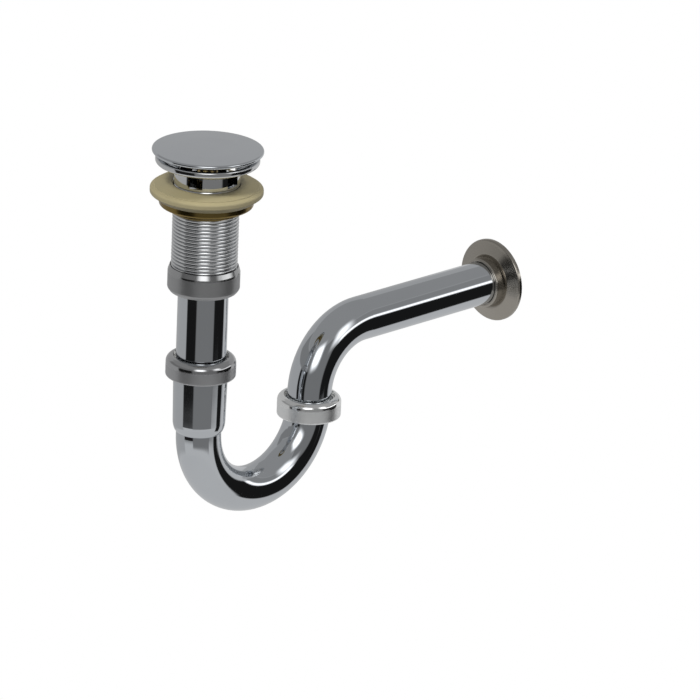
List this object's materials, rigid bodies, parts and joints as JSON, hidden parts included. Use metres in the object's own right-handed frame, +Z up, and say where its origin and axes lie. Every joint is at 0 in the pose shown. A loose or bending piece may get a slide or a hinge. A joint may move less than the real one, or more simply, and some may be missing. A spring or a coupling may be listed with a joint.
{
  "type": "basin trap",
  "caption": "Chrome basin waste with push-open plug, rubber gasket and brass backnut, joined to a tubular P-trap with wall tube and wall flange.",
  "frame": {"origin": "on the axis of the basin waste, in the plane of the flange's underside that sits on the basin", "axes": "+Z up along the waste, +X along the wall tube towards the wall, +Y to the left seen from behind the waste looking at the wall"},
  "size_m": [0.304, 0.0712, 0.2536],
  "materials": {
    "chrome": "polished",
    "nut_chrome": "polished, slightly darker",
    "cover_steel": "bright, faintly warm",
    "gasket_rubber": "matte, beige",
    "raw_brass": "unplated, dull",
    "brass": "machined",
    "seal_rubber": "matte, black",
    "white_plastic": "matte, white",
    "spring_steel": "drawn wire"
  },
  "bodies": {
    "waste": {"waste_body": "chrome", "cartridge_body": "brass", "cartridge_gland": "brass", "gland_ring": "seal_rubber", "cartridge_spring": "spring_steel", "coupling_washer": "seal_rubber", "inlet_tube": "chrome"},
    "plug": {"plug_cap": "chrome", "cap_seal": "seal_rubber", "plug_spindle": "brass", "cam_rotor": "white_plastic"},
    "gasket": {"seat_gasket": "gasket_rubber"},
    "locknut": {"backnut": "raw_brass"},
    "upper_ring": {"coupling_ring": "white_plastic"},
    "upper_nut": {"coupling_nut": "nut_chrome"},
    "socket_washer": {"slip_washer": "seal_rubber"},
    "bend": {"j_bend": "chrome", "outlet_washer": "seal_rubber"},
    "socket_ring": {"slip_ring": "white_plastic"},
    "socket_nut": {"slip_nut": "nut_chrome"},
    "union_ring": {"outlet_ring": "white_plastic"},
    "union_nut": {"outlet_nut": "nut_chrome"},
    "arm": {"wall_tube": "chrome"},
    "cover": {"wall_flange": "cover_steel"}
  },
  "joints": [
    {"name": "plug_click", "type": "slide", "parent": "waste", "child": "plug", "axis": [0, 0, 1], "range_m": [-0.0025, 0], "stiffness_N_per_m": 400, "springref_m": 0.02, "deforming": ["cartridge_spring"]},
    {"name": "gasket_travel", "type": "slide", "parent": "waste", "child": "gasket", "axis": [0, 0, 1], "range_m": [-0.02, 0.0086]},
    {"name": "locknut_turn", "type": "hinge", "parent": "gasket", "child": "locknut", "pos_m": [0, 0, -0.025], "axis": [0, 0, 1], "range_deg": [-3115, 1338]},
    {"name": "upper_ring_travel", "type": "slide", "parent": "waste", "child": "upper_ring", "axis": [0, 0, 1], "range_m": [-0.0101, 0]},
    {"name": "upper_nut_turn", "type": "hinge", "parent": "upper_ring", "child": "upper_nut", "pos_m": [0, 0, -0.0829], "axis": [0, 0, 1], "range_deg": [-1574, 0]},
    {"name": "trap_height", "type": "slide", "parent": "waste", "child": "socket_washer", "axis": [0, 0, 1], "range_m": [-0.018, 0.0155]},
    {"name": "trap_swivel", "type": "hinge", "parent": "socket_washer", "child": "bend", "pos_m": [0, 0, -0.1355], "axis": [0, 0, 1], "continuous": true},
    {"name": "socket_ring_travel", "type": "slide", "parent": "bend", "child": "socket_ring", "axis": [0, 0, 1], "range_m": [0, 0.0073]},
    {"name": "socket_nut_turn", "type": "hinge", "parent": "socket_ring", "child": "socket_nut", "pos_m": [0, 0, -0.1355], "axis": [0, 0, 1], "range_deg": [0, 1138]},
    {"name": "union_ring_travel", "type": "slide", "parent": "bend", "child": "union_ring", "axis": [0, 0, 1], "range_m": [0, 0.008]},
    {"name": "union_nut_turn", "type": "hinge", "parent": "union_ring", "child": "union_nut", "pos_m": [0.0958, 0, -0.182], "axis": [0, 0, 1], "range_deg": [0, 1245]},
    {"name": "outlet_swivel", "type": "hinge", "parent": "bend", "child": "arm", "pos_m": [0.0958, 0, -0.179], "axis": [0, 0, 1], "range_deg": [-140, 140]},
    {"name": "cover_slide", "type": "slide", "parent": "arm", "child": "cover", "axis": [1, 0, 0], "range_m": [-0.105, 0]}
  ],
  "couplings": [
    {"joint": "gasket_travel", "follows": "locknut_turn", "m_per_rad": 0.00036749},
    {"joint": "upper_ring_travel", "follows": "upper_nut_turn", "m_per_rad": 0.00036749},
    {"joint": "socket_ring_travel", "follows": "socket_nut_turn", "m_per_rad": 0.00036749},
    {"joint": "union_ring_travel", "follows": "union_nut_turn", "m_per_rad": 0.00036749}
  ]
}
